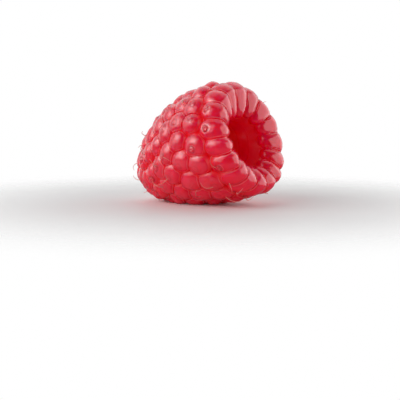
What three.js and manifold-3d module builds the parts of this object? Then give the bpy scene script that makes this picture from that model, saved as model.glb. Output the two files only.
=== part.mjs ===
// A picked raspberry, lying on its side with its hollow towards +X.
// Millimetres, +Z up, the resting surface at z = 0.
//
// The fruit is one solid: a hollow wall, and about 120 drupelets fused to it in rings.
// It is laid out straight, along an axis that runs from the tip (x = 0) to the mouth,
// then its tip is bent down a little, the axis is tilted, and the underside is pressed flat.

import * as THREE from 'three';
import { mergeVertices } from 'three/addons/utils/BufferGeometryUtils.js';
import Module from 'manifold-3d';

const wasm = await Module();
wasm.setup();

// ---- Driving dimensions ----

// The tops of the drupelets, as [distance from the tip, radius]: from the tip along the
// outside, over the rounded rim and back into the mouth.
const TOPS = [
  [0, 0], [0.4, 2.2], [2.2, 4.7], [6.0, 7.7], [11.3, 9.8], [16.7, 10.45],
  [21.2, 10.25], [23.8, 8.75], [23.8, 6.85], [22.2, 4.7], [18.4, 4.0],
];
const BERRY_LENGTH = 23.9;

// The wall of the hollow that the core left, from under the rim's lobes to its blind end.
const HOLLOW = [[17.6, 4.25], [13.2, 4.0], [9.8, 3.3], [7.6, 2.1], [6.7, 0]];

// Rings of drupelets: back = distance of the ring's middle behind the rim's crest along TOPS,
// half = half a drupelet's length along TOPS, turn = where the first one sits (degrees),
// blunt = how squarely its ends close: 2 is an ellipse, more keeps the width to the ends.
const RINGS = [
  { back: 0.1, half: 5.3, count: 17, turn: -6, height: 2.4, blunt: 3.0 },
  { back: 6.9, half: 2.5, count: 17, turn: 11.5, height: 2.4, blunt: 2.1 },
  { back: 10.0, half: 2.4, count: 17, turn: 5, height: 2.4, blunt: 2.1 },
  { back: 13.1, half: 2.3, count: 15, turn: 13.5, height: 2.35, blunt: 2.1 },
  { back: 15.7, half: 2.22, count: 14, turn: 13.5, height: 2.3, blunt: 2.1 },
  { back: 18.6, half: 2.15, count: 13, turn: 5, height: 2.2, blunt: 2.1 },
  { back: 21.3, half: 2.05, count: 11, turn: 10, height: 1.9, blunt: 2.1 },
  { back: 23.9, half: 2.0, count: 9, turn: 0, height: 1.8, blunt: 2.1 },
  { back: 26.4, half: 1.9, count: 6, turn: 10, height: 1.7, blunt: 2.1 },
  { back: 28.5, half: 1.75, count: 3, turn: 30, height: 1.6, blunt: 2.1 },
];
// The rim's lobes crowd together on one side, here given by its angle, in degrees.
const CROWDING = { lobes: 7.5, at: 210 };
const SIDE_OVERLAP = 1.16;     // drupelet width over its share of the ring
const LOBE_OVERLAP = 1.25;     // the same for a lobe's head
const LOBE_WIDENING = 0.8;     // how much wider a lobe ends in the mouth than at its head
const FULLNESS = 0.85;         // 1 is an elliptic dome, less is flatter on top
const ROOT_DEPTH = 0.4;        // how far a drupelet reaches below its own rim, into the wall
const WALL_DEPTH = 1.6;        // the wall's outside, below the tops
const WALL_START = 1.9;        // the wall's first ring, from the tip along TOPS
const LOBE_REACH = 4.2;        // where the wall turns into the hollow, past the crest
const THROAT_DEPTH = 0.9;      // the wall's depth where it does

// How far neighbours differ from each other.
const SHIFT_ALONG = 0.22;      // mm
const SHIFT_AROUND = 0.09;     // share of a drupelet's place in its ring
const SIZE_SPREAD = 0.07;
const HEIGHT_SPREAD = 0.1;

const FLAT_TOP = 0.03;         // how much closer the upper side lies to the axis
const MOUTH_LEAN = 0.2;        // how far the mouth's upper side lies back, per mm of height
const TIP_DROOP = 3.8;         // the tip's bend towards the surface, mm
// The mouth's upper side hangs lower inside a radius, and from a distance from the tip on.
const MOUTH_SAG = { share: 0.3, radius: [4.5, 7.5], from: [13, 19] };
const TILT_DEG = 8.4;          // the mouth's rise
const FLAT_DEPTH = 0.8;        // how much of the lowest drupelets is pressed flat, mm

const FLESH = { color: 0xe00a28, roughness: 0.28, metalness: 0 };

// Facets, and how closely points are told apart, in mm.
const STEPS_LONG = { lobe: 7, drupelet: 4 };
const STEPS_TOP = 5;
const STEPS_ROOT = 2;
const STEPS_LATHE = 20;
const LATHE_STATIONS = 10;
const CREST_STEPS = 400;
const SAME_POINT = 1e-4;

// ---- Helpers ----

function draw(index, channel) {
  const wave = Math.sin(index * 12.9898 + channel * 78.233) * 43758.5453;
  return wave - Math.floor(wave);
}

function spread(index, channel, amount) {
  return amount * (2 * draw(index, channel) - 1);
}

// A closed indexed mesh as a manifold-3d solid.
function toSolid(geometry) {
  const bare = geometry.clone();
  bare.deleteAttribute('normal');
  bare.deleteAttribute('uv');
  const merged = mergeVertices(bare, SAME_POINT);
  const corners = Array.from(merged.index.array);
  const kept = [];
  for (let i = 0; i < corners.length; i += 3) {
    const [a, b, c] = corners.slice(i, i + 3);
    if (a !== b && b !== c && c !== a) {
      kept.push(a, b, c);
    }
  }
  const mesh = new wasm.Mesh({
    numProp: 3,
    vertProperties: new Float32Array(merged.attributes.position.array),
    triVerts: new Uint32Array(kept),
  });
  return new wasm.Manifold(mesh);
}

function toGeometry(solid) {
  const mesh = solid.getMesh();
  const geometry = new THREE.BufferGeometry();
  geometry.setAttribute('position', new THREE.BufferAttribute(mesh.vertProperties, 3));
  geometry.setIndex(new THREE.BufferAttribute(mesh.triVerts, 1));
  return geometry;
}

// ---- The outline ----

const outline = new THREE.SplineCurve(TOPS.map(([x, r]) => new THREE.Vector2(x, r)));
const outlineLength = outline.getLength();

function crestLength() {
  let best = 0;
  for (let i = 1; i <= CREST_STEPS; i++) {
    if (outline.getPointAt(i / CREST_STEPS).x > outline.getPointAt(best / CREST_STEPS).x) {
      best = i;
    }
  }
  return best / CREST_STEPS * outlineLength;
}
const crest = crestLength();

// A point at a depth under the tops: where = distance along the outline from the tip.
function underTops(where, depth) {
  const u = THREE.MathUtils.clamp(where / outlineLength, 0, 1);
  const point = outline.getPointAt(u);
  const tangent = outline.getTangentAt(u);
  return new THREE.Vector2(point.x + tangent.y * depth, point.y - tangent.x * depth);
}

// ---- The fruit's pieces, straight, along X ----

function wall() {
  const points = [new THREE.Vector2(0, WALL_DEPTH)];
  const last = crest + LOBE_REACH;
  for (let i = 1; i <= LATHE_STATIONS; i++) {
    const where = THREE.MathUtils.lerp(WALL_START, last, i / LATHE_STATIONS);
    const pastCrest = THREE.MathUtils.clamp((where - crest) / LOBE_REACH, 0, 1);
    const place = underTops(where, THREE.MathUtils.lerp(WALL_DEPTH, THROAT_DEPTH, pastCrest ** 2));
    points.push(new THREE.Vector2(place.y, place.x));
  }
  for (const [x, r] of HOLLOW) {
    points.push(new THREE.Vector2(r, x));
  }
  const geometry = new THREE.LatheGeometry(points, STEPS_LATHE);
  // The lathe turns about Y: lay that axis along X.
  geometry.rotateZ(-Math.PI / 2);
  return toSolid(geometry);
}

// A drupelet: a dome that is bent along the outline, as wide as its share of the ring, and
// closed below by a shallow root. along and across are angles over the dome.
function drupelet(ring, index, number) {
  const size = 1 + spread(number, 1, SIZE_SPREAD);
  const height = ring.height * (1 + spread(number, 2, HEIGHT_SPREAD));
  const middle = crest - ring.back + spread(number, 3, SHIFT_ALONG);
  const place = index + spread(number, 4, SHIFT_AROUND);
  const isLobe = ring === RINGS[0];
  const evenTurn = THREE.MathUtils.degToRad(ring.turn) + 2 * Math.PI * place / ring.count;
  const overlap = isLobe ? LOBE_OVERLAP : SIDE_OVERLAP;
  const crowding = isLobe ? THREE.MathUtils.degToRad(CROWDING.lobes) : 0;
  const turn = evenTurn - crowding * Math.sin(evenTurn - THREE.MathUtils.degToRad(CROWDING.at));
  const stepsLong = isLobe ? STEPS_LONG.lobe : STEPS_LONG.drupelet;
  const stepsRound = STEPS_TOP + STEPS_ROOT;
  const stretch = 1 - crowding * Math.cos(evenTurn - THREE.MathUtils.degToRad(CROWDING.at));

  function vertex(along, across) {
    const way = Math.sin(along);
    const where = middle + ring.half * size * way;
    const width = (1 - Math.min(1, Math.abs(way)) ** ring.blunt) ** (1 / ring.blunt);
    const slope = width * Math.cos(across);
    const swell = Math.sign(slope) * Math.abs(slope) ** FULLNESS;
    const depth = height - swell * (swell > 0 ? height : ROOT_DEPTH);
    const top = underTops(where, 0);
    const widening = isLobe ? 1 + LOBE_WIDENING * ((1 + way) / 2) ** 2 : 1;
    const halfWidth = Math.PI * top.y / ring.count * overlap * size * stretch * widening;
    const side = halfWidth * width * Math.sin(across);
    const point = underTops(where, depth);
    return [
      point.x,
      point.y * Math.cos(turn) - side * Math.sin(turn),
      point.y * Math.sin(turn) + side * Math.cos(turn),
    ];
  }

  const positions = [];
  for (let i = 0; i <= stepsLong; i++) {
    const along = Math.PI * (i / stepsLong - 0.5);
    for (let j = 0; j < stepsRound; j++) {
      const across = j < STEPS_TOP
        ? Math.PI * (j / STEPS_TOP - 0.5)
        : Math.PI * (0.5 + (j - STEPS_TOP) / STEPS_ROOT);
      positions.push(...vertex(along, across));
    }
  }
  const corners = [];
  for (let i = 0; i < stepsLong; i++) {
    for (let j = 0; j < stepsRound; j++) {
      const k = (j + 1) % stepsRound;
      const here = i * stepsRound;
      const next = here + stepsRound;
      corners.push(here + j, here + k, next + k);
      corners.push(here + j, next + k, next + j);
    }
  }
  const geometry = new THREE.BufferGeometry();
  geometry.setAttribute('position', new THREE.Float32BufferAttribute(positions, 3));
  geometry.setIndex(corners);
  return toSolid(geometry);
}

function straightBerry() {
  const solids = [wall()];
  let number = 0;
  for (const ring of RINGS) {
    for (let index = 0; index < ring.count; index++) {
      number += 1;
      solids.push(drupelet(ring, index, number));
    }
  }
  const joined = solids.reduce((whole, solid) => whole.add(solid));
  // Anything loose is a sliver where three drupelets meet: only the fruit is kept.
  return joined.decompose().reduce((a, b) => (a.volume() > b.volume() ? a : b));
}

// ---- Laying it down ----

// Presses the upper side in a little, leans the mouth back, bends the tip down, tilts the
// axis up towards the mouth and lowers the fruit onto z = 0, with the lowest drupelets
// FLAT_DEPTH under it.
function layDown(geometry) {
  const position = geometry.attributes.position;
  for (let i = 0; i < position.count; i++) {
    const x = position.getX(i);
    const y = position.getY(i);
    const z = position.getZ(i);
    const radius = Math.max(Math.hypot(y, z), SAME_POINT);
    const upper = ((1 + z / radius) / 2) ** 2;
    const squeeze = 1 - FLAT_TOP * upper;
    const inner = 1 - THREE.MathUtils.smoothstep(radius, ...MOUTH_SAG.radius);
    const deep = THREE.MathUtils.smoothstep(x, ...MOUTH_SAG.from);
    const sag = MOUTH_SAG.share * upper * inner * deep;
    const toMouth = THREE.MathUtils.clamp(x / BERRY_LENGTH, 0, 1);
    const toTip = 1 - toMouth;
    position.setXYZ(
      i,
      x - MOUTH_LEAN * z * toMouth ** 3,
      y * squeeze,
      z * (squeeze - sag) - TIP_DROOP * toTip ** 2,
    );
  }
  geometry.rotateY(-THREE.MathUtils.degToRad(TILT_DEG));
  geometry.computeBoundingBox();
  const box = geometry.boundingBox;
  geometry.translate(0, 0, -box.min.z - FLAT_DEPTH);
}

function pressFlat(geometry) {
  const size = 4 * BERRY_LENGTH;
  const block = new THREE.BoxGeometry(size, size, size);
  block.translate(0, 0, -size / 2);
  const pressed = toGeometry(toSolid(geometry).subtract(toSolid(block)));
  pressed.computeBoundingBox();
  const box = pressed.boundingBox;
  pressed.translate(-(box.min.x + box.max.x) / 2, -(box.min.y + box.max.y) / 2, 0);
  return pressed;
}

function raspberry() {
  const laid = toGeometry(straightBerry());
  layDown(laid);
  const geometry = pressFlat(laid);
  const mesh = new THREE.Mesh(geometry, new THREE.MeshStandardMaterial(FLESH));
  mesh.name = 'berry';
  return mesh;
}

const part = new THREE.Group();
part.add(raspberry());

export default part;
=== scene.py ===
import math

import bmesh
import bpy
import numpy as np
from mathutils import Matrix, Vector
from mathutils.kdtree import KDTree


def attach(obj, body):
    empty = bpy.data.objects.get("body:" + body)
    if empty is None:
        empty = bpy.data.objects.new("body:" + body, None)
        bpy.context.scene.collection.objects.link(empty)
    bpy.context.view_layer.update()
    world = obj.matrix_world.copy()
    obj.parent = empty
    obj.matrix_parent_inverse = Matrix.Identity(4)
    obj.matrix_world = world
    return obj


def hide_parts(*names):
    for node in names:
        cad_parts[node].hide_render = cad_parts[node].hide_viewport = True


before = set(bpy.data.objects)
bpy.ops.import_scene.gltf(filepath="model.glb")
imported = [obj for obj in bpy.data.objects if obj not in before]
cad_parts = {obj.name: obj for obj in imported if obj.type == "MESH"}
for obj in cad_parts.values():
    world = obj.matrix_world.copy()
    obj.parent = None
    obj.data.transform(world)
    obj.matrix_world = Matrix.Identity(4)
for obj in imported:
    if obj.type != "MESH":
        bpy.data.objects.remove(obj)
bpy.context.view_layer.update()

# The berry is worked out in millimetres, straight along X from its tip to its mouth, then
# bent, tilted and laid down, by the same rule as its solid. MM turns a length into metres.
MM = 0.001

# ---- The berry's form ----

# Tops of the drupelets: distance from the tip, radius.
TOPS = [
    (0, 0), (0.4, 2.2), (2.2, 4.7), (6.0, 7.7), (11.3, 9.8), (16.7, 10.45),
    (21.2, 10.25), (23.8, 8.75), (23.8, 6.85), (22.2, 4.7), (18.4, 4.0),
]
BERRY_LENGTH = 23.9
# The hollow's wall, from its upper part to its end: distance from the tip, radius.
HOLLOW = [(17.6, 4.25), (13.2, 4.0), (9.8, 3.3), (7.6, 2.1), (6.7, 0)]

# Rings: distance behind the rim's crest, half a drupelet's length, count, turn in degrees,
# height and bluntness, where 2 is an ellipse and more keeps its width closer to its ends.
RINGS = [
    (0.1, 5.3, 17, -6, 2.4, 3.0),
    (6.9, 2.5, 17, 11.5, 2.4, 2.1),
    (10.0, 2.4, 17, 5, 2.4, 2.1),
    (13.1, 2.3, 15, 13.5, 2.35, 2.1),
    (15.7, 2.22, 14, 13.5, 2.3, 2.1),
    (18.6, 2.15, 13, 5, 2.2, 2.1),
    (21.3, 2.05, 11, 10, 1.9, 2.1),
    (23.9, 2.0, 9, 0, 1.8, 2.1),
    (26.4, 1.9, 6, 10, 1.7, 2.1),
    (28.5, 1.75, 3, 30, 1.6, 2.1),
]
RIM_RING = 0
# The rim's lobes crowd together on one side, at an angle round the axis.
CROWDING = math.radians(7.5)
CROWDING_AT = math.radians(210)
# Lobes widen from their heads to their ends in the mouth, by this share.
LOBE_WIDENING = 0.8
LOBE_OVERLAP = 1.25
SIDE_OVERLAP = 1.16
FULLNESS = 0.85
ROOT_DEPTH = 0.4
# One small drupelet closes the tip: its middle's distance from the tip, and its radii.
TIP_MIDDLE = 1.9
TIP_REACH = 1.7
TIP_RADIUS = 1.75

# The wall between the drupelets and the hollow. Past the rim's crest it rises to its throat.
WALL_DEPTH = 1.6
WALL_START = 1.9
LOBE_REACH = 4.2
THROAT_DEPTH = 0.9
# Low swellings in the hollow, where the drupelets' inner ends show, and where they start.
SWELLING_HEIGHT = 0.22
SWELLING_PITCH = 2.5
SWELLINGS_ROUND = 13
SWELLING_REACH = 0.62      # half a swelling, as a share of its cell
SWELLINGS_FROM = 17.5
SWELLINGS_GROW_OVER = 2.5

# How much the drupelets differ.
SHIFT_ALONG = 0.22
SHIFT_AROUND = 0.09
SIZE_SPREAD = 0.07
HEIGHT_SPREAD = 0.1
DENT_DEPTH = 0.08
DENT_RATE = 1.5
DENT_LENGTH = 2.4

# The scar that a style leaves on each drupelet: its groove, button and pit, with widths.
SCAR_RADIUS = 0.55         # to its groove
SCAR_GROOVE = 0.13
GROOVE_WIDTH = 0.16
SCAR_BUTTON = 0.12
BUTTON_WIDTH = 0.36
SCAR_PIT = 0.2
PIT_WIDTH = 0.13
FAINTEST_SCAR = 0.15
FAINT_SCARS = 1.5          # the higher, the more of them are faint
SCAR_FADE = 3              # how quickly it fades out at the drupelet's edge
# Where it sits, along and across, as shares of a drupelet's half sizes.
LOBE_SCAR_AT = -0.72
LOBE_SCAR_SPREAD = (0.06, 0.16)
SCAR_SPREAD = (0.3, 0.28)

# How the berry is bent and laid down.
FLAT_TOP = 0.03
MOUTH_LEAN = 0.2
TIP_DROOP = 3.8
# The mouth's upper side hangs lower inside a radius, and from a distance from the tip on.
MOUTH_SAG = 0.3
SAG_RADIUS = (4.5, 7.5)
SAG_FROM = (13, 19)
TILT = math.radians(8.4)
FLAT_DEPTH = 0.8

# Mesh fineness.
OUTLINE_SAMPLES = 1200
SLOPE_STEP = 0.08
SPOKES = 40                # round a drupelet
DOME_STEPS = 15            # from its scar to its edge
LOBE_STEPS = 22
NEAR_SCAR, NEAR_SCAR_POWER, NEAR_EDGE = 0.55, 1.6, 0.45
ROOT_STEPS = 2
WALL_SPOKES = 120
WALL_STEPS = 40
HOLLOW_STEPS = 44
SHARP_FROM = math.radians(34)

# ---- The flesh's markings and painted light, in millimetres ----

# Depths under the tops by which the bloom and its painted highlight thin out and a crease's
# painted glow is at its purest red.
BLOOM_AND_HIGHLIGHT_DEPTH = 0.6
BLOOM_AND_HIGHLIGHT_FULL, BLOOM_AND_HIGHLIGHT_POWER = 1.1, 1.5
CREASE_DEPTH = 1.0
LOBE_BLOOM_AND_HIGHLIGHT = 0.25          # the rim's lobes get less of the bloom and its painted highlight
# Edges that fold inward by more than this are seams between drupelets.
SEAM_ANGLE = math.radians(45)
SEAM_REACH = 1.0
# The painted highlight and shade lines by the seams fade out at the tip, where the seams are
# shallow.
TIP_FADE = (1.2, 3.2)
SCAR_RING_WIDTH = 0.14
SCAR_DOT_WIDTH = 0.15
# The hollow's painted glow of purer red deepens inward from a distance from the tip, within a
# radius.
HOLLOW_FROM, HOLLOW_OVER = 21.5, 5.0
HOLLOW_RADIUS, HOLLOW_EDGE = 6.6, 0.8
HOLLOW_END = 6.0

# ---- The dried styles, in millimetres ----

# Below this height more of them are left, and longer ones in the rings near the mouth.
LOW_HEIGHT = 9
KEPT_LOW, KEPT_HIGH = 0.7, 0.14
LONG_STYLE, SHORT_STYLE = 1.7, 0.9
LONG_RINGS = 6
CLEAR_OF_FLOOR = 1.5
STYLE_ROOT = 0.12
LOWEST_STYLE = 0.06
STYLE_WIDTH, STYLE_WIDTH_SPREAD = 0.12, 0.04
STYLE_TAPER = 0.6
# The angle that a style turns through, how much it rises and how it arches on its way.
BEND, BEND_SPREAD = 0.7, 1.3
LIFT, LIFT_SPREAD = 0.15, 0.25
ARCH = 2.6
# A direction that no style follows, to set out its thickness from.
NO_STYLES_WAY = [0.31, 0.52, 0.79]
STYLE_STEPS = 14
STYLE_SIDES = 5

# ---- The camera, which the lights are set out from ----

PHOTO_SIZE = 400
CAMERA_TURN = math.radians(35)
CAMERA_RISE = math.radians(6)
CAMERA_DISTANCE = 0.190
LENS = 100.0
SENSOR = 36.0
CLIP_START = 0.005
BERRY_MIDDLE = Vector((0, 0, 0.0105))
MIDDLE_AT_PIXEL = (203.5, 141.9)

# Unit vectors to the camera's back, right and top.
BACK = Vector((
    math.sin(CAMERA_TURN) * math.cos(CAMERA_RISE),
    -math.cos(CAMERA_TURN) * math.cos(CAMERA_RISE),
    math.sin(CAMERA_RISE),
))
RIGHT = Vector((math.cos(CAMERA_TURN), math.sin(CAMERA_TURN), 0))
UP = BACK.cross(RIGHT)

# ---- Seeded draws ----

# Everything that varies from drupelet to drupelet has a channel of its own.
CHANNELS = {
    "size": 1, "height": 2, "along": 3, "around": 4, "scar along": 5, "scar across": 6,
    "scar": 7, "tone": 9, "dent phase": 11, "second dent phase": 12,
    "style kept": 21, "style direction": 22, "style length": 23, "style bend": 24,
    "style lift": 25, "style width": 26, "style side": 27,
}


def draw(number, what):
    """A repeatable number from 0 to 1."""
    wave = math.sin(number * 12.9898 + CHANNELS[what] * 78.233) * 43758.5453
    return wave - math.floor(wave)


def spread(number, what, amount):
    return amount * (2 * draw(number, what) - 1)


# ---- Curves ----


def smoothstep(value, low, high):
    share = np.clip((value - low) / (high - low), 0, 1)
    return share * share * (3 - 2 * share)


def bell(distance, width):
    return np.exp(-((distance / width) ** 2))


class Outline:
    """A smooth curve through points, read by the distance along it."""

    def __init__(self, points):
        knots = np.array(points, float)
        last = len(knots) - 1
        place = np.linspace(0, last, OUTLINE_SAMPLES + 1)
        i = np.minimum(place.astype(int), last)
        w = (place - i)[:, None]
        p0 = knots[np.maximum(i - 1, 0)]
        p1 = knots[i]
        p2 = knots[np.minimum(i + 1, last)]
        p3 = knots[np.minimum(i + 2, last)]
        v0 = (p2 - p0) / 2
        v1 = (p3 - p1) / 2
        cubic = (2 * p1 - 2 * p2 + v0 + v1) * w**3
        self.points = cubic + (3 * p2 - 3 * p1 - 2 * v0 - v1) * w**2 + v0 * w + p1
        steps = np.linalg.norm(np.diff(self.points, axis=0), axis=1)
        self.where = np.concatenate([[0], np.cumsum(steps)])
        self.length = self.where[-1]
        self.crest = self.where[int(np.argmax(self.points[:, 0]))]

    def at(self, where):
        where = np.clip(where, 0, self.length)
        x = np.interp(where, self.where, self.points[:, 0])
        r = np.interp(where, self.where, self.points[:, 1])
        return x, r

    def under(self, where, depth):
        """The point at a depth under the outline."""
        near = np.clip(where, SLOPE_STEP, self.length - SLOPE_STEP)
        x0, r0 = self.at(near - SLOPE_STEP)
        x1, r1 = self.at(near + SLOPE_STEP)
        run = np.hypot(x1 - x0, r1 - r0)
        x, r = self.at(where)
        return x + (r1 - r0) / run * depth, r - (x1 - x0) / run * depth


outline = Outline(TOPS)

# ---- Meshes ----


def new_object(name, positions, faces):
    mesh = bpy.data.meshes.new(name)
    mesh.from_pydata(positions, [], faces)
    mesh.update()
    made = bpy.data.objects.new(name, mesh)
    bpy.context.scene.collection.objects.link(made)
    return made


def outward(made):
    """Turns a closed mesh's faces outward."""
    edit = bmesh.new()
    edit.from_mesh(made.data)
    bmesh.ops.recalc_face_normals(edit, faces=edit.faces)
    if edit.calc_volume(signed=True) < 0:
        bmesh.ops.reverse_faces(edit, faces=edit.faces)
    edit.to_mesh(made.data)
    edit.free()


def closed_piece(name, positions, faces):
    made = new_object(name, positions, faces)
    outward(made)
    return made


def fan_grid(rows, columns):
    """Faces of a closed bag: a pole, rings of vertices, and a pole."""
    faces = []
    first = 1
    for j in range(columns):
        faces.append((0, first + j, first + (j + 1) % columns))
    for i in range(rows - 1):
        here = first + i * columns
        there = here + columns
        for j in range(columns):
            k = (j + 1) % columns
            faces.append((here + j, there + j, there + k, here + k))
    end = first + rows * columns
    here = end - columns
    for j in range(columns):
        faces.append((here + j, end, here + (j + 1) % columns))
    return faces


def turns(count):
    """Equal angles round the axis."""
    return 2 * math.pi * np.arange(count) / count


# ---- Drupelets ----


def wobble(x, y, number):
    """Slow dents over a drupelet, from about -1 to 1, by waves of unlike pitch."""
    about_a_turn = 6.28
    a = about_a_turn * draw(number, "dent phase")
    b = about_a_turn * draw(number, "second dent phase")
    slow = 0.5 * np.sin(2.6 * x + 1.3 * y + a) + 0.5 * np.sin(1.1 * x - 2.9 * y + b)
    quick = np.sin(5.3 * x - 2.2 * y + b) * np.sin(2.4 * x + 5.1 * y + a)
    return 0.8 * slow + 0.35 * quick


def scar_place(on_rim, number):
    """Where the scar sits on a drupelet: along and across, as shares of its half sizes."""
    middle = LOBE_SCAR_AT if on_rim else 0
    along, across = LOBE_SCAR_SPREAD if on_rim else SCAR_SPREAD
    return middle + spread(number, "scar along", along), spread(number, "scar across", across)


def scar_strength(number):
    return FAINTEST_SCAR + (1 - FAINTEST_SCAR) * draw(number, "scar") ** FAINT_SCARS


def drupelet(ring_index, index, number):
    """One drupelet as positions and faces, and its scar's place and outward direction."""
    back, half, count, turn, height, bluntness = RINGS[ring_index]
    on_rim = ring_index == RIM_RING
    if on_rim:
        crowding, widening, overlap, steps = CROWDING, LOBE_WIDENING, LOBE_OVERLAP, LOBE_STEPS
    else:
        crowding, widening, overlap, steps = 0, 0, SIDE_OVERLAP, DOME_STEPS
    size = 1 + spread(number, "size", SIZE_SPREAD)
    height = height * (1 + spread(number, "height", HEIGHT_SPREAD))
    middle = outline.crest - back + spread(number, "along", SHIFT_ALONG)
    place = index + spread(number, "around", SHIFT_AROUND)
    angle = math.radians(turn) + 2 * math.pi * place / count
    share_of_ring = (1 - crowding * math.cos(angle - CROWDING_AT)) * overlap / count
    angle = angle - crowding * math.sin(angle - CROWDING_AT)
    scar = scar_place(on_rim, number)

    def lay(t, q, swell, lift):
        """A point of the unit ball (t along, q across, swell out) on the berry."""
        where = middle + half * size * t
        round_end = np.sqrt(np.clip(1 - t * t, 1e-9, 1))
        blunt_end = np.clip(1 - np.abs(t) ** bluntness, 0, 1) ** (1 / bluntness)
        q = q * blunt_end / round_end
        swell = swell * blunt_end / round_end
        share = np.sign(swell) * np.abs(swell) ** FULLNESS
        depth = height - share * np.where(swell > 0, height, ROOT_DEPTH) - lift
        top_r = outline.at(where)[1]
        side = math.pi * top_r * share_of_ring * size * q * (1 + widening * ((1 + t) / 2) ** 2)
        x, r = outline.under(where, depth)
        y = r * math.cos(angle) - side * math.sin(angle)
        z = r * math.sin(angle) + side * math.cos(angle)
        return np.stack([x, y, z], -1)

    def dome_point(t, q):
        room = np.clip(1 - t * t - q * q, 0, 1)
        # Distances from the scar, in millimetres.
        width = math.pi * outline.at(middle + half * scar[0])[1] * share_of_ring
        away = np.hypot((t - scar[0]) * half, (q - scar[1]) * width) * size
        groove = -SCAR_GROOVE * bell(away - SCAR_RADIUS, GROOVE_WIDTH)
        button = SCAR_BUTTON * bell(away, BUTTON_WIDTH)
        pit = -SCAR_PIT * bell(away, PIT_WIDTH)
        dents = DENT_DEPTH * wobble(DENT_RATE * t * half / DENT_LENGTH, DENT_RATE * q, number)
        mark = scar_strength(number) * (groove + button + pit)
        lift = mark * np.clip(SCAR_FADE * room, 0, 1) + dents * room
        return lay(t, q, np.sqrt(room), lift)

    spokes = turns(SPOKES)
    rows = [dome_point(np.array([scar[0]]), np.array([scar[1]]))]
    for i in range(1, steps + 1):
        # Close together round the scar, and again towards the edge.
        share = i / steps
        reach = NEAR_SCAR * share**NEAR_SCAR_POWER + NEAR_EDGE * math.sin(share * math.pi / 2)
        reach = min(reach, 1.0)
        t = scar[0] * (1 - reach) + reach * np.cos(spokes)
        q = scar[1] * (1 - reach) + reach * np.sin(spokes)
        rows.append(dome_point(t, q))
    for i in range(1, ROOT_STEPS + 1):
        under = 0.5 * math.pi * i / (ROOT_STEPS + 1)
        ring = math.cos(under)
        swell = np.full(SPOKES, -math.sin(under))
        rows.append(lay(ring * np.cos(spokes), ring * np.sin(spokes), swell, 0))
    rows.append(lay(np.array([0.0]), np.array([0.0]), np.array([-1.0]), 0))
    positions = np.concatenate(rows)
    foot = positions[0]
    out = foot - np.array([foot[0], 0, 0])
    out = out / (np.linalg.norm(out) + 1e-9)
    return positions, fan_grid(steps + ROOT_STEPS, SPOKES), foot, out


def tip_drupelet():
    """The small drupelet on the axis at the tip, as positions and faces."""
    spokes = turns(SPOKES)
    rows = [np.array([[TIP_MIDDLE - TIP_REACH, 0, 0]])]
    steps = 2 * DOME_STEPS
    for turn in np.linspace(0, math.pi, steps + 1)[1:-1]:
        x = np.full(SPOKES, TIP_MIDDLE - TIP_REACH * math.cos(turn))
        r = TIP_RADIUS * math.sin(turn)
        rows.append(np.stack([x, r * np.cos(spokes), r * np.sin(spokes)], -1))
    rows.append(np.array([[TIP_MIDDLE + TIP_REACH, 0, 0]]))
    return np.concatenate(rows), fan_grid(steps - 1, SPOKES)


def all_drupelets():
    """The drupelets as objects, and each one's ring, number, scar and outward direction."""
    pieces = []
    feet = []
    for ring_index, (_, _, count, _, _, _) in enumerate(RINGS):
        for index in range(count):
            number = len(feet) + 1
            positions, faces, foot, out = drupelet(ring_index, index, number)
            pieces.append(closed_piece(f"drupelet_{number}", positions, faces))
            feet.append((ring_index, number, foot, out))
    pieces.append(closed_piece("drupelet_at_tip", *tip_drupelet()))
    return pieces, feet


# ---- The wall ----


def swellings(x, turn):
    """How far the hollow's wall swells, from 0 to 1, at a distance from the tip."""
    row = np.floor(x / SWELLING_PITCH)
    best = np.zeros_like(x)
    for near in (-1, 0, 1):
        centre = (row + near + 0.5) * SWELLING_PITCH
        half_cell = 0.5 * ((row + near) % 2)
        cell = turn * SWELLINGS_ROUND / (2 * math.pi) + half_cell
        off = cell - np.round(cell)
        along = (x - centre) / (SWELLING_REACH * SWELLING_PITCH)
        away = along ** 2 + (off / SWELLING_REACH) ** 2
        best = np.maximum(best, np.sqrt(np.clip(1 - away, 0, 1)))
    return best


def wall():
    """The wall between the drupelets and the hollow, as positions and faces."""
    spokes = turns(WALL_SPOKES)
    stations = []
    for where in np.linspace(WALL_START, outline.crest + LOBE_REACH, WALL_STEPS):
        past_crest = np.clip((where - outline.crest) / LOBE_REACH, 0, 1)
        depth = WALL_DEPTH + (THROAT_DEPTH - WALL_DEPTH) * past_crest**2
        stations.append(outline.under(where, depth))
    inner = Outline([stations[-1]] + HOLLOW)
    outer_count = len(stations)
    for where in np.linspace(0, inner.length, HOLLOW_STEPS + 1)[1:-1]:
        stations.append(inner.at(where))
    rows = [np.array([[WALL_DEPTH, 0, 0]])]
    for i, (x, r) in enumerate(stations):
        radius = np.full(WALL_SPOKES, float(r))
        along = np.full(WALL_SPOKES, float(x))
        if i >= outer_count:
            deep = np.clip((SWELLINGS_FROM - x) / SWELLINGS_GROW_OVER, 0, 1)
            radius = radius - SWELLING_HEIGHT * deep * swellings(along, spokes)
        rows.append(np.stack([along, radius * np.cos(spokes), radius * np.sin(spokes)], -1))
    rows.append(np.array([[HOLLOW[-1][0], 0, 0]]))
    return np.concatenate(rows), fan_grid(len(stations), WALL_SPOKES)


# ---- The berry ----


def join_all(base, pieces):
    """Fuses the drupelets into the wall, as one closed mesh, and removes them."""
    group = bpy.data.collections.new("to_join")
    bpy.context.scene.collection.children.link(group)
    for piece in pieces:
        bpy.context.scene.collection.objects.unlink(piece)
        group.objects.link(piece)
    union = base.modifiers.new("union", "BOOLEAN")
    union.operation = "UNION"
    union.solver = "MANIFOLD"
    union.operand_type = "COLLECTION"
    union.collection = group
    bpy.context.view_layer.update()
    solved = base.evaluated_get(bpy.context.evaluated_depsgraph_get())
    mesh = bpy.data.meshes.new_from_object(solved)
    base.modifiers.clear()
    base.data = mesh
    for piece in pieces:
        bpy.data.objects.remove(piece)
    bpy.data.collections.remove(group)


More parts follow.
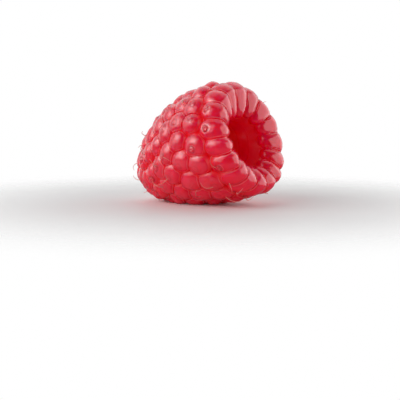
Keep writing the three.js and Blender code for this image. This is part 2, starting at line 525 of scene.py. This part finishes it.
def lay_down(points):
    """Presses the top in, leans the mouth back, bends the tip down and tilts the axis."""
    x, y, z = points[:, 0], points[:, 1], points[:, 2]
    radius = np.maximum(np.hypot(y, z), 1e-6)
    upper = ((1 + z / radius) / 2) ** 2
    squeeze = 1 - FLAT_TOP * upper
    sag = MOUTH_SAG * upper * (1 - smoothstep(radius, *SAG_RADIUS)) * smoothstep(x, *SAG_FROM)
    to_mouth = np.clip(x / BERRY_LENGTH, 0, 1)
    x = x - MOUTH_LEAN * z * to_mouth**3
    y = y * squeeze
    z = z * (squeeze - sag) - TIP_DROOP * (1 - to_mouth) ** 2
    along = x * math.cos(TILT) - z * math.sin(TILT)
    above = x * math.sin(TILT) + z * math.cos(TILT)
    return np.stack([along, y, above], -1)


def depth_under_tops(points):
    """How far each point of the straight berry lies under the tops."""
    at_once = 4000
    tops = outline.points[::4]
    here = np.stack([points[:, 0], np.hypot(points[:, 1], points[:, 2])], -1)
    depth = np.empty(len(points))
    for start in range(0, len(points), at_once):
        part = here[start:start + at_once]
        gap = np.linalg.norm(part[:, None, :] - tops[None, :, :], axis=2)
        depth[start:start + at_once] = gap.min(axis=1)
    return depth


def nearest_of(places, points):
    """For each point, the nearest place's index, and how far it is."""
    tree = KDTree(len(places))
    for i, place in enumerate(places):
        tree.insert(place, i)
    tree.balance()
    found = [tree.find(point) for point in points]
    return [index for _, index, _ in found], np.array([away for _, _, away in found])


def seam_distance(mesh, points):
    """How far each point of the straight berry lies from a seam between drupelets."""
    edit = bmesh.new()
    edit.from_mesh(mesh)
    seams = []
    for edge in edit.edges:
        if edge.calc_face_angle_signed(0.0) < -SEAM_ANGLE:
            first, second = edge.verts[0].co, edge.verts[1].co
            seams += [first.copy(), (first + second) / 2, second.copy()]
    edit.free()
    return nearest_of(seams, points)[1]


def float_attribute(mesh, name, values):
    attribute = mesh.attributes.new(name, "FLOAT", "POINT")
    attribute.data.foreach_set("value", np.asarray(values, np.float32))


def mark_flesh(mesh, straight, feet):
    """The attributes that the flesh's material reads, from the points of the straight berry."""
    nearest, away = nearest_of([foot for _, _, foot, _ in feet], straight)
    rings = [ring_index for ring_index, _, _, _ in feet]
    numbers = [number for _, number, _, _ in feet]
    depth = depth_under_tops(straight)
    x = straight[:, 0]
    radius = np.hypot(straight[:, 1], straight[:, 2])

    strength = np.array([scar_strength(numbers[i]) for i in nearest])
    ring_and_dot = bell(away - SCAR_RADIUS, SCAR_RING_WIDTH) + bell(away, SCAR_DOT_WIDTH)
    float_attribute(mesh, "scar", strength * np.clip(ring_and_dot, 0, 1))
    float_attribute(mesh, "tone", [draw(numbers[i], "tone") for i in nearest])
    # How deep under the tops: it sets the creases' painted glow and their dullness.
    float_attribute(mesh, "crease", np.clip(depth / CREASE_DEPTH, 0, 1))

    # Where the hollow's painted glow lies, deepening inward.
    deep = np.clip((HOLLOW_FROM - x) / HOLLOW_OVER, 0, 1)
    near_axis = np.clip((HOLLOW_RADIUS - radius) / HOLLOW_EDGE, 0, 1) * (x > HOLLOW_END)
    float_attribute(mesh, "hollow", deep * near_axis)

    # The waxy bloom with its painted highlight on the crowns, less of it on the rim's lobes.
    waxy_and_highlight = np.array([LOBE_BLOOM_AND_HIGHLIGHT if rings[i] == RIM_RING else 1.0 for i in nearest])
    waxy_and_highlight = waxy_and_highlight * np.clip(BLOOM_AND_HIGHLIGHT_FULL - depth / BLOOM_AND_HIGHLIGHT_DEPTH, 0, 1) ** BLOOM_AND_HIGHLIGHT_POWER
    float_attribute(mesh, "bloom_and_highlight", waxy_and_highlight * (1 - near_axis))

    # 0 on a seam and 1 away from it; the painted highlight line and painted shade by the seams
    # are drawn from it. It counts as away in the hollow and at the tip.
    seam = np.clip(seam_distance(mesh, straight) / SEAM_REACH, 0, 1)
    at_tip = 1 - smoothstep(x, *TIP_FADE)
    float_attribute(mesh, "seam", np.maximum(seam, np.maximum(near_axis, at_tip)))


def build_berry():
    """The berry's one mesh, and each scar's ring, number, place and outward direction."""
    berry = closed_piece("berry_flesh", *wall())
    pieces, feet = all_drupelets()
    join_all(berry, pieces)
    mesh = berry.data
    straight = np.empty(len(mesh.vertices) * 3)
    mesh.vertices.foreach_get("co", straight)
    straight = straight.reshape(-1, 3)
    mark_flesh(mesh, straight, feet)

    laid = lay_down(straight)
    shift = np.array([
        -(laid[:, 0].min() + laid[:, 0].max()) / 2,
        -(laid[:, 1].min() + laid[:, 1].max()) / 2,
        -laid[:, 2].min() - FLAT_DEPTH,
    ])
    laid = laid + shift
    laid[:, 2] = np.maximum(laid[:, 2], 0)
    mesh.vertices.foreach_set("co", (laid * MM).ravel())
    mesh.update()
    mesh.shade_smooth()
    mesh.set_sharp_from_angle(angle=SHARP_FROM)

    scars = []
    for ring_index, number, foot, out in feet:
        ends = lay_down(np.stack([foot, foot + out])) + shift
        scars.append((ring_index, number, ends[0], ends[1] - ends[0]))
    return berry, scars


# ---- The styles ----


def thread(path, thickness):
    """A thin closed tube that tapers to its end, as positions and faces."""
    rows = [path[:1]]
    count = len(path)
    spin = turns(STYLE_SIDES)
    for i in range(1, count - 1):
        way = path[i + 1] - path[i - 1]
        way = way / np.linalg.norm(way)
        aside = np.cross(way, NO_STYLES_WAY)
        aside = aside / np.linalg.norm(aside)
        across = np.cross(way, aside)
        r = thickness / 2 * (1 - STYLE_TAPER * i / count)
        ring = path[i] + r * (np.cos(spin)[:, None] * aside + np.sin(spin)[:, None] * across)
        rows.append(ring)
    rows.append(path[-1:])
    return np.concatenate(rows), fan_grid(count - 2, STYLE_SIDES)


def style_path(ring_index, number, foot, out):
    """The points that a style follows, from inside its scar to its end."""
    spin = 2 * math.pi * draw(number, "style direction")
    aside = np.cross(out, [1.0, 0.0, 0.0])
    aside = aside / np.linalg.norm(aside)
    along = np.cross(aside, out)
    way = math.cos(spin) * aside + math.sin(spin) * along
    curl = np.cross(out, way)
    low_and_long = foot[2] < LOW_HEIGHT and ring_index < LONG_RINGS
    shortest = LONG_STYLE if low_and_long else SHORT_STYLE
    length = shortest * (1 + draw(number, "style length"))
    bend = BEND + BEND_SPREAD * draw(number, "style bend")
    if draw(number, "style side") < 0.5:
        bend = -bend
    lift = LIFT + LIFT_SPREAD * draw(number, "style lift")
    path = []
    for i in range(STYLE_STEPS + 1):
        u = i / STYLE_STEPS
        ahead = length * math.sin(bend * u) / bend
        across = length * (1 - math.cos(bend * u)) / bend
        rise = length * lift * math.sin(ARCH * u) - STYLE_ROOT
        path.append(foot + out * rise + way * ahead + curl * across)
    path = np.array(path)
    path[:, 2] = np.maximum(path[:, 2], LOWEST_STYLE)
    return path


def build_styles(scars):
    """The dried styles: thin curled threads that rise from some of the scars."""
    positions = []
    faces = []
    used = 0
    for ring_index, number, foot, out in scars:
        kept = KEPT_LOW if foot[2] < LOW_HEIGHT else KEPT_HIGH
        if draw(number, "style kept") > kept or foot[2] < CLEAR_OF_FLOOR:
            continue
        width = STYLE_WIDTH + STYLE_WIDTH_SPREAD * draw(number, "style width")
        tube, tube_faces = thread(style_path(ring_index, number, foot, out), width)
        faces += [tuple(used + k for k in face) for face in tube_faces]
        positions.append(tube)
        used += len(tube)
    made = closed_piece("styles", np.concatenate(positions) * MM, faces)
    made.data.shade_smooth()
    return made


# ---- Materials ----

BLACK = (0, 0, 0)
WHITE = (1, 1, 1)
# How much of the bloom and its painted highlight the thin patches keep.
THIN_BLOOM_AND_HIGHLIGHT = (0.55, 0.55, 0.55)
# How strong the painted highlight line by the seams is.
RIM_HIGHLIGHT_STRENGTH = (0.75, 0.75, 0.75)

# The flesh's colours, with its painted highlights, painted shade and painted glow.
RIPE = (0.84, 0.0003, 0.045), (0.95, 0.001, 0.078)
CLOUDED = (0.80, 0.0003, 0.040), (0.97, 0.002, 0.085)
# A pale waxy bloom with a painted highlight, for the crowns.
BLOOM_AND_HIGHLIGHT = (0.91, 0.095, 0.140, 1)
# A painted highlight line beside each seam.
PAINTED_RIM_HIGHLIGHT = (1.0, 0.27, 0.29, 1)
# Painted shade on the seam itself.
PAINTED_SEAM_SHADE = (0.80, 0.0, 0.02, 1)
# Painted glow of purer red down in the creases.
PAINTED_CREASE_GLOW = (1.0, 0.0, 0.026, 1)
# Painted glow of purer red deep in the hollow.
PAINTED_HOLLOW_GLOW = (0.99, 0.0, 0.006, 1)
SCAR_BROWN = (0.50, 0.001, 0.012, 1)

# The skin's roughness, and how much rougher the creases are.
SKIN_ROUGHNESS = (0.09, 0.16)
CREASE_ROUGHER = 0.45

DRY_STYLE = (0.80, 0.26, 0.20), (0.90, 0.52, 0.42)

# The floor as the camera sees it, and the reds that it throws back on the berry, as from
# other berries around it.
FLOOR_PALE = (0.92, 0.92, 0.92), (0.96, 0.96, 0.96)
FLOOR_DULL = (0.90, 0.14, 0.25, 1)
FLOOR_MIRRORED = (0.46, 0.24, 0.28, 1)
FLOOR_FADES = (0.018, 0.065)


def set_values(node, values):
    for name, value in values.items():
        node.inputs[name].default_value = value


def shader(name):
    """A new material, its nodes and links, its shader and its object coordinates."""
    material = bpy.data.materials.new(name)
    material.use_nodes = True
    nodes = material.node_tree.nodes
    place = nodes.new("ShaderNodeTexCoord").outputs["Object"]
    return material, nodes, material.node_tree.links, nodes["Principled BSDF"], place


def ramp(nodes, links, value, stops):
    """A colour by a value: stops are (value, colour)."""
    node = nodes.new("ShaderNodeValToRGB")
    while len(node.color_ramp.elements) < len(stops):
        node.color_ramp.elements.new(0.5)
    for element, (place, color) in zip(node.color_ramp.elements, stops):
        element.position = place
        element.color = (*color, 1)
    links.new(value, node.inputs["Fac"])
    return node.outputs["Color"]


def attribute(nodes, name):
    node = nodes.new("ShaderNodeAttribute")
    node.attribute_name = name
    return node.outputs["Fac"]


def mix_color(nodes, links, share, first, second):
    node = nodes.new("ShaderNodeMix")
    node.data_type = "RGBA"
    # Inputs 0, 6 and 7 are the share and the two colours, and output 2 is a colour.
    for value, socket in ((share, 0), (first, 6), (second, 7)):
        if isinstance(value, bpy.types.NodeSocket):
            links.new(value, node.inputs[socket])
        else:
            node.inputs[socket].default_value = value
    return node.outputs[2]


def math_node(nodes, links, operation, values):
    node = nodes.new("ShaderNodeMath")
    node.operation = operation
    for i, value in enumerate(values):
        if isinstance(value, bpy.types.NodeSocket):
            links.new(value, node.inputs[i])
        else:
            node.inputs[i].default_value = value
    return node.outputs["Value"]


def noise(nodes, links, place, scale, detail=2.0):
    node = nodes.new("ShaderNodeTexNoise")
    set_values(node, {"Scale": scale, "Detail": detail})
    links.new(place, node.inputs["Vector"])
    return node.outputs["Fac"]


def map_range(nodes, links, value, old, new, interpolation="LINEAR"):
    """Takes a value from the old range to the new one."""
    node = nodes.new("ShaderNodeMapRange")
    node.interpolation_type = interpolation
    set_values(node, {"From Min": old[0], "From Max": old[1]})
    set_values(node, {"To Min": new[0], "To Max": new[1]})
    links.new(value, node.inputs["Value"])
    return node.outputs["Result"]


def flesh_material():
    material, nodes, links, principled, place = shader("raspberry_flesh")

    # Ripe red, a little different on each drupelet.
    ripe = ramp(nodes, links, attribute(nodes, "tone"), [(0.0, RIPE[0]), (1.0, RIPE[1])])
    clouds = noise(nodes, links, place, scale=260.0)
    clouded = ramp(nodes, links, clouds, [(0.35, CLOUDED[0]), (0.7, CLOUDED[1])])
    color = mix_color(nodes, links, 0.35, ripe, clouded)
    # A pale waxy bloom with a painted highlight on the crowns, which thins out unevenly towards
    # the creases.
    patches = noise(nodes, links, place, scale=480.0)
    patchy = ramp(nodes, links, patches, [(0.3, THIN_BLOOM_AND_HIGHLIGHT), (0.7, WHITE)])
    bloom_and_highlight = math_node(nodes, links, "MULTIPLY", [attribute(nodes, "bloom_and_highlight"), patchy])
    color = mix_color(nodes, links, bloom_and_highlight, color, BLOOM_AND_HIGHLIGHT)
    # A thin painted highlight line where a drupelet's skin turns down, and a line of painted
    # shade on the seam.
    seam = attribute(nodes, "seam")
    rim_highlight = ramp(nodes, links, seam, [(0.16, BLACK), (0.26, RIM_HIGHLIGHT_STRENGTH), (0.38, BLACK)])
    color = mix_color(nodes, links, rim_highlight, color, PAINTED_RIM_HIGHLIGHT)
    # Painted shade on the seam itself.
    seam_shade = ramp(nodes, links, seam, [(0.06, WHITE), (0.2, BLACK)])
    color = mix_color(nodes, links, seam_shade, color, PAINTED_SEAM_SHADE)
    # A painted glow of purer, brighter red down in the creases and in the hollow, where light
    # comes through the flesh.
    crease = ramp(nodes, links, attribute(nodes, "crease"), [(0.45, BLACK), (1.0, WHITE)])
    color = mix_color(nodes, links, crease, color, PAINTED_CREASE_GLOW)
    color = mix_color(nodes, links, attribute(nodes, "hollow"), color, PAINTED_HOLLOW_GLOW)
    # A brown-red ring and dot where the style stood.
    color = mix_color(nodes, links, attribute(nodes, "scar"), color, SCAR_BROWN)
    links.new(color, principled.inputs["Base Color"])

    # A fine skin grain over the dents.
    grain = nodes.new("ShaderNodeBump")
    set_values(grain, {"Strength": 0.12, "Distance": 0.00005})
    links.new(noise(nodes, links, place, scale=5200.0, detail=3.0), grain.inputs["Height"])
    links.new(grain.outputs["Normal"], principled.inputs["Normal"])

    # The creases are wet with pulp and dull.
    skin = noise(nodes, links, place, scale=900.0)
    rough = map_range(nodes, links, skin, (0.0, 1.0), SKIN_ROUGHNESS)
    rough = math_node(nodes, links, "MULTIPLY_ADD", [crease, CREASE_ROUGHER, rough])
    links.new(rough, principled.inputs["Roughness"])

    set_values(principled, {
        "Subsurface Weight": 1.0,
        "Subsurface Radius": (1.0, 0.07, 0.07),
        "Subsurface Scale": 0.003,
        "IOR": 1.6,
        "Specular IOR Level": 0.85,
        "Coat Weight": 0.35,
        "Coat Roughness": 0.06,
        # The fine down shows as a pale sheen on the flanks.
        "Sheen Weight": 0.7,
        "Sheen Roughness": 0.12,
        "Sheen Tint": (1.0, 0.80, 0.83, 1),
    })
    return material


def style_material():
    material, nodes, links, principled, place = shader("dried_style")
    patches = noise(nodes, links, place, scale=700.0)
    dry = ramp(nodes, links, patches, [(0.3, DRY_STYLE[0]), (0.7, DRY_STYLE[1])])
    links.new(dry, principled.inputs["Base Color"])
    set_values(principled, {
        "Roughness": 0.45,
        "Subsurface Weight": 0.3,
        "Subsurface Scale": 0.0003,
    })
    return material


def floor_material():
    material, nodes, links, principled, place = shader("pale_floor")
    patches = noise(nodes, links, place, scale=3.0)
    pale = ramp(nodes, links, patches, [(0.0, FLOOR_PALE[0]), (1.0, FLOOR_PALE[1])])
    path = nodes.new("ShaderNodeLightPath").outputs
    color = mix_color(nodes, links, path["Is Glossy Ray"], FLOOR_DULL, FLOOR_MIRRORED)
    color = mix_color(nodes, links, path["Is Camera Ray"], color, pale)
    links.new(color, principled.inputs["Base Color"])
    set_values(principled, {"Roughness": 0.6, "Specular IOR Level": 0.2})
    # Away from the berry the floor passes into the white of the studio.
    reach = nodes.new("ShaderNodeVectorMath")
    reach.operation = "LENGTH"
    links.new(place, reach.inputs[0])
    fade = map_range(nodes, links, reach.outputs["Value"], FLOOR_FADES, (1, 0), "SMOOTHSTEP")
    links.new(fade, principled.inputs["Alpha"])
    return material


# ---- Stage, light and camera ----

FLOOR_HALF = 3.0

# Lights: the angle to the camera's right and the rise, in degrees, seen from the berry, then
# distance, width and height in metres, and radiance.
LIGHTS = {
    "key_left": (-66, 30, 0.30, 0.46, 0.36, 0.80),
    "key_core": (-66, 30, 0.28, 0.20, 0.16, 1.6),
    "wall_right": (84, 14, 0.30, 0.72, 0.40, 1.0),
    "top": (180, 68, 0.30, 0.40, 0.30, 0.3),
    "fill_front": (-24, 10, 0.32, 0.50, 0.30, 0.68),
}
# The fill from the camera's side leaves no highlight of its own.
WITHOUT_GLOSS = ("fill_front",)

# The studio's light walls stand behind the berry, and the camera's side is dim: the levels,
# and the cosines to the camera's line of sight between which they change.
LEVEL_CHANGES = (-0.1, 0.9)
STUDIO_LEVELS = (0.03, 0.85)


def softbox(name, side, rise, distance, width, height, radiance):
    """A rectangular light that faces the berry."""
    side, rise = math.radians(side), math.radians(rise)
    level = Vector((BACK.x, BACK.y, 0)).normalized()
    way = math.cos(rise) * (math.cos(side) * level + math.sin(side) * RIGHT)
    way = way + Vector((0, 0, math.sin(rise)))
    light = bpy.data.lights.new(name, "AREA")
    light.shape = "RECTANGLE"
    light.size = width
    light.size_y = height
    light.energy = radiance * math.pi * width * height
    made = bpy.data.objects.new(name, light)
    made.location = BERRY_MIDDLE + way * distance
    made.rotation_euler = way.to_track_quat("Z", "Y").to_euler()
    made.visible_camera = False
    made.visible_glossy = name not in WITHOUT_GLOSS
    bpy.context.scene.collection.objects.link(made)


def background(nodes):
    node = nodes.new("ShaderNodeBackground")
    set_values(node, {"Strength": 1.0, "Color": (1, 1, 1, 1)})
    return node


def studio_world():
    world = bpy.data.worlds.new("studio")
    bpy.context.scene.world = world
    world.use_nodes = True
    nodes = world.node_tree.nodes
    links = world.node_tree.links
    nodes.clear()
    seen = background(nodes)
    lit = background(nodes)
    facing = nodes.new("ShaderNodeVectorMath")
    facing.operation = "DOT_PRODUCT"
    facing.inputs[1].default_value = -BACK
    links.new(nodes.new("ShaderNodeTexCoord").outputs["Generated"], facing.inputs[0])
    cosine = facing.outputs["Value"]
    level = map_range(nodes, links, cosine, LEVEL_CHANGES, STUDIO_LEVELS, "SMOOTHSTEP")
    links.new(level, lit.inputs["Strength"])
    pick = nodes.new("ShaderNodeMixShader")
    links.new(nodes.new("ShaderNodeLightPath").outputs["Is Camera Ray"], pick.inputs["Fac"])
    links.new(lit.outputs["Background"], pick.inputs[1])
    links.new(seen.outputs["Background"], pick.inputs[2])
    out = nodes.new("ShaderNodeOutputWorld")
    links.new(pick.outputs["Shader"], out.inputs["Surface"])


def stage():
    half = FLOOR_HALF
    corners = [(-half, -half, 0), (half, -half, 0), (half, half, 0), (-half, half, 0)]
    floor = new_object("floor", corners, [(0, 1, 2, 3)])
    floor.data.materials.append(floor_material())
    for name, values in LIGHTS.items():
        softbox(name, *values)
    studio_world()


def camera():
    view = bpy.data.cameras.new("camera")
    view.lens = LENS
    view.sensor_width = SENSOR
    view.clip_start = CLIP_START
    made = bpy.data.objects.new("camera", view)
    pixel = SENSOR / LENS / PHOTO_SIZE * CAMERA_DISTANCE
    aside = (MIDDLE_AT_PIXEL[0] - PHOTO_SIZE / 2) * pixel
    above = (PHOTO_SIZE / 2 - MIDDLE_AT_PIXEL[1]) * pixel
    made.location = BERRY_MIDDLE + BACK * CAMERA_DISTANCE - RIGHT * aside - UP * above
    made.rotation_euler = BACK.to_track_quat("Z", "Y").to_euler()
    bpy.context.scene.collection.objects.link(made)
    bpy.context.scene.camera = made


camera()
stage()
bpy.context.scene.view_settings.view_transform = "Standard"

berry, scars = build_berry()
berry.data.materials.clear()
berry.data.materials.append(flesh_material())
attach(berry, "root")
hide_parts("berry")

styles = build_styles(scars)
styles.data.materials.append(style_material())
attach(styles, "root")
